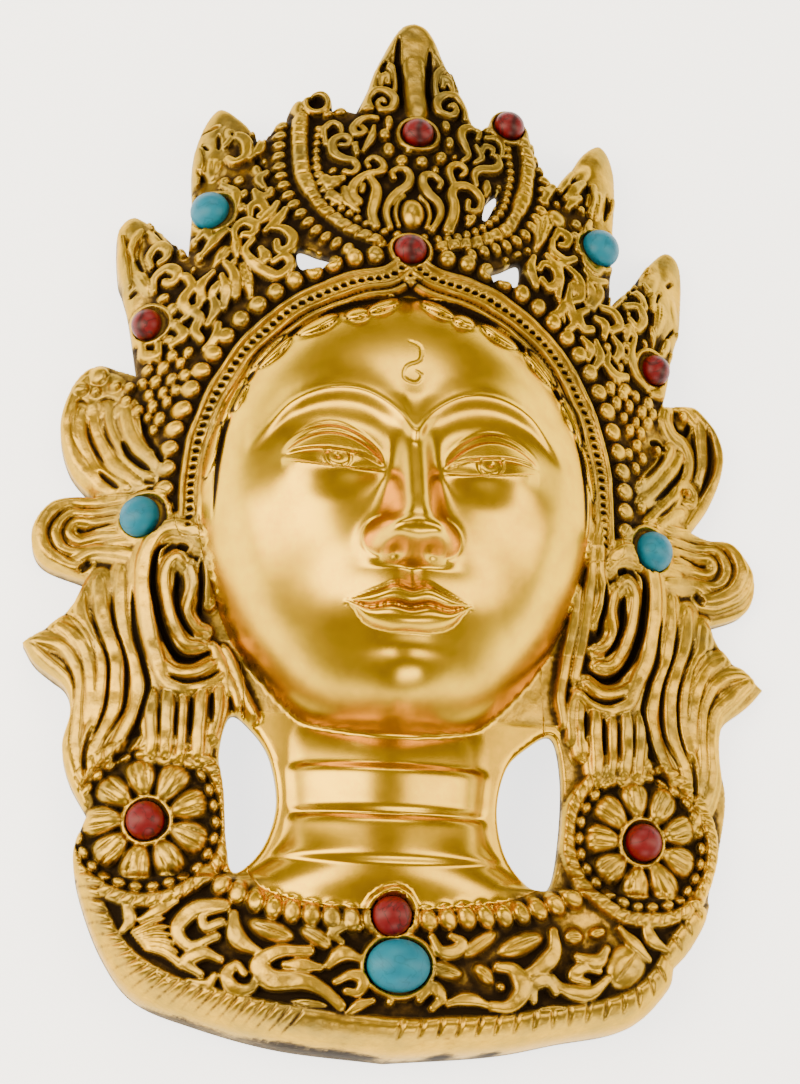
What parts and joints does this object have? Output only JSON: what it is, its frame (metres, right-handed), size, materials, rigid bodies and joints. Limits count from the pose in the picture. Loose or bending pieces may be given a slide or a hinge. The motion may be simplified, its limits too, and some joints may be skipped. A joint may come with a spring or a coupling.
{
  "type": "deity wall mask",
  "caption": "Cast brass wall mask of a crowned deity with pierced scrollwork, ear scrolls, scarves and a shoulder collar, set with turquoise and coral stones.",
  "frame": {"origin": "middle of the box around the mask, on the surface that it lies on", "axes": "+Y to the tip of the crown, +Z out of the face, +X to the right of someone who looks at the face"},
  "size_m": [0.1843, 0.265, 0.0693],
  "materials": {
    "cast_brass": "cast, dark patina in the recesses, worn bright on the crests, face polished",
    "turquoise": "polished stone cabochon, faint mottling",
    "red_coral": "polished deep red cabochon, fine dark cracks"
  },
  "bodies": {
    "root": {"brass_mask": "cast_brass", "turquoise_crown_left": "turquoise", "turquoise_crown_right": "turquoise", "turquoise_ear_left": "turquoise", "turquoise_ear_right": "turquoise", "turquoise_collar": "turquoise", "coral_crown_upper": "red_coral", "coral_crown_lower": "red_coral", "coral_shoulder_right": "red_coral", "coral_outer_left": "red_coral", "coral_outer_right": "red_coral", "coral_rosette_left": "red_coral", "coral_rosette_right": "red_coral", "coral_collar": "red_coral"}
  },
  "joints": []
}
